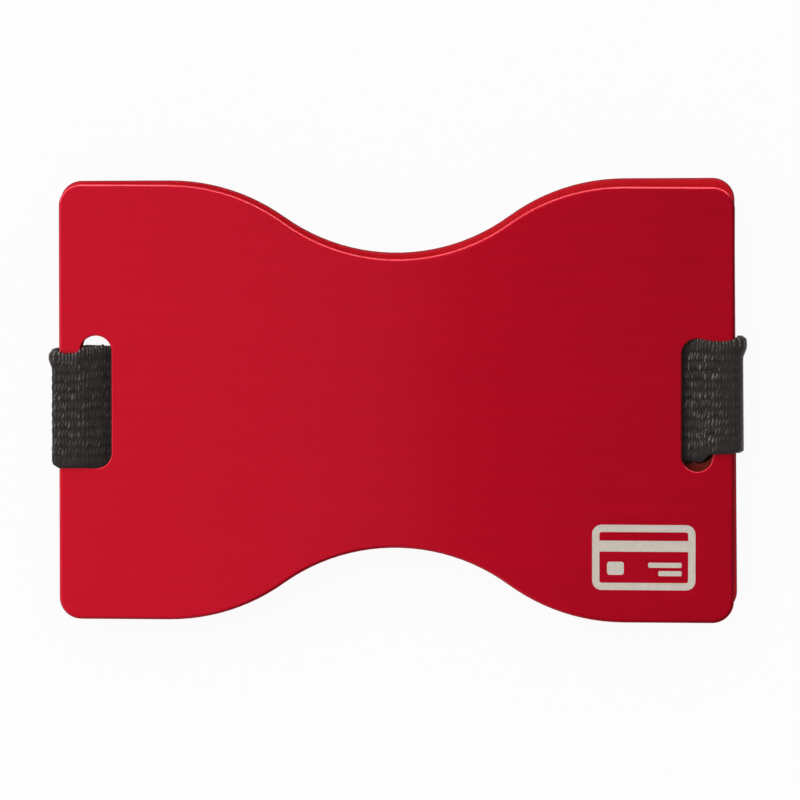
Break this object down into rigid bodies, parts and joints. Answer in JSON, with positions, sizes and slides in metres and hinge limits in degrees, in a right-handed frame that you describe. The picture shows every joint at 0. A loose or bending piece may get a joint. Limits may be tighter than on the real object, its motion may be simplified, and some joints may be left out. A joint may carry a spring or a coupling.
{
  "type": "card holder",
  "caption": "Slim pocket card holder: waisted aluminium plates with thumb notches, laced face to face on a woven elastic band that stretches as cards go in between.",
  "frame": {"origin": "under the middle of the holder, on the surface it lies on", "axes": "+X along the plates, to the right in the picture; +Y across them, up in the picture; +Z out of the front plate, away from the surface"},
  "size_m": [0.0956, 0.061, 0.0072],
  "materials": {
    "anodised_red": "lengthwise brushed aluminium sheet, anodised red, satin",
    "elastic_black": "black woven elastic with lengthwise ribs",
    "thread_black": "black polyester sewing thread"
  },
  "bodies": {
    "rear": {"rear_plate": "anodised_red", "band_rear_left": "elastic_black", "band_rear_right": "elastic_black", "band_side_left": "elastic_black", "band_side_right": "elastic_black", "seam_thread": "thread_black"},
    "front": {"front_plate": "anodised_red", "band_front": "elastic_black"}
  },
  "joints": [
    {"name": "plates_spread", "type": "slide", "parent": "rear", "child": "front", "axis": [0, 0, 1], "range_m": [0, 0.0061], "stiffness_N_per_m": 500, "springref_m": -0.004, "deforming": ["band_side_left", "band_side_right"]}
  ]
}
